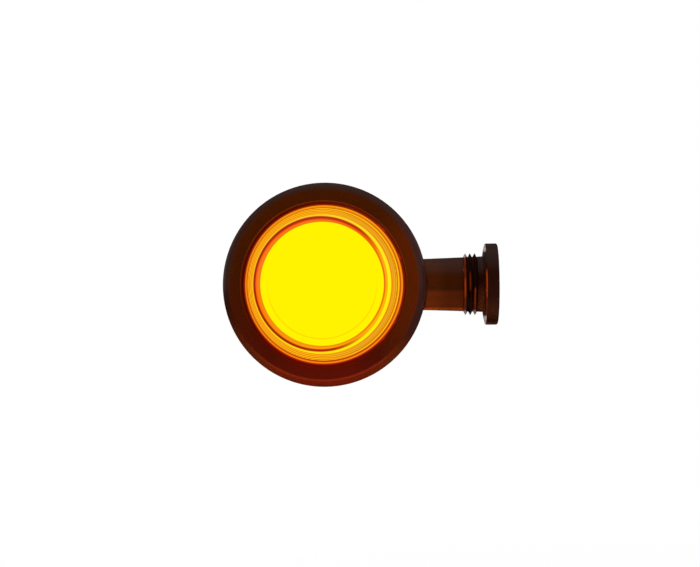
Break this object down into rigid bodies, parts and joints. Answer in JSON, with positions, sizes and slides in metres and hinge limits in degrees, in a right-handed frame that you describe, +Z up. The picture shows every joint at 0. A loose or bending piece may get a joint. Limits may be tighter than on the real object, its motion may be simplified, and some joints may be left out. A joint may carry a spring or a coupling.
{
  "type": "motorcycle turn signal",
  "caption": "Round amber turn signal lamp with a raised lens, on a short swivelling stem with a ribbed rubber knock joint and a threaded mounting flange.",
  "frame": {"origin": "centre of the mounting flange's outer face, on the stem's axis", "axes": "+X along the stem, out of the mounting face; -Y the way the lamp shines; +Z up"},
  "size_m": [0.081, 0.0279, 0.06],
  "materials": {
    "body_lacquer": "gloss lacquer, very dark brown",
    "boot_rubber": "satin",
    "seal_rubber": "matte",
    "gasket_rubber": "matte, dark red",
    "zinc_steel": "zinc plated",
    "spring_steel": "oiled",
    "bare_aluminium": "machined",
    "amber_lens": "clear amber acrylic",
    "lit_diffuser": "translucent, lit",
    "lit_led": "lit",
    "bright_reflector": "metallised",
    "board_laminate": "white solder mask",
    "black_plastic": "moulded",
    "white_plastic": "moulded"
  },
  "bodies": {
    "mount": {"mount_flange": "body_lacquer", "threaded_insert": "zinc_steel", "face_seal": "seal_rubber", "flex_boot": "boot_rubber", "flex_spring": "spring_steel"},
    "hub": {"spindle": "bare_aluminium", "swivel_seal": "seal_rubber", "spring_washer": "spring_steel", "spindle_nut": "zinc_steel"},
    "lamp": {"lamp_housing": "body_lacquer", "bezel_ring": "body_lacquer", "bezel_seal": "seal_rubber", "lens_gasket": "gasket_rubber", "lens": "amber_lens", "diffuser": "lit_diffuser", "reflector": "bright_reflector", "led_board": "board_laminate", "led_chips": "lit_led", "heat_spreader": "bare_aluminium", "board_screws": "zinc_steel", "driver_chip": "black_plastic", "capacitor": "bare_aluminium", "resistors": "black_plastic", "board_connector": "white_plastic", "rear_cover": "black_plastic", "rear_seal": "seal_rubber", "cover_screws": "zinc_steel", "vent_plug": "seal_rubber"}
  },
  "joints": [
    {"name": "knock_flex", "type": "hinge", "parent": "mount", "child": "hub", "pos_m": [-0.00804, 0, 0], "axis": [0, 0, 1], "range_deg": [-15, 15], "stiffness_Nm_per_rad": 2, "deforming": ["flex_boot", "flex_spring"]},
    {"name": "aim_swivel", "type": "hinge", "parent": "hub", "child": "lamp", "pos_m": [-0.016, 0, 0], "axis": [1, 0, 0], "range_deg": [-90, 90]}
  ]
}
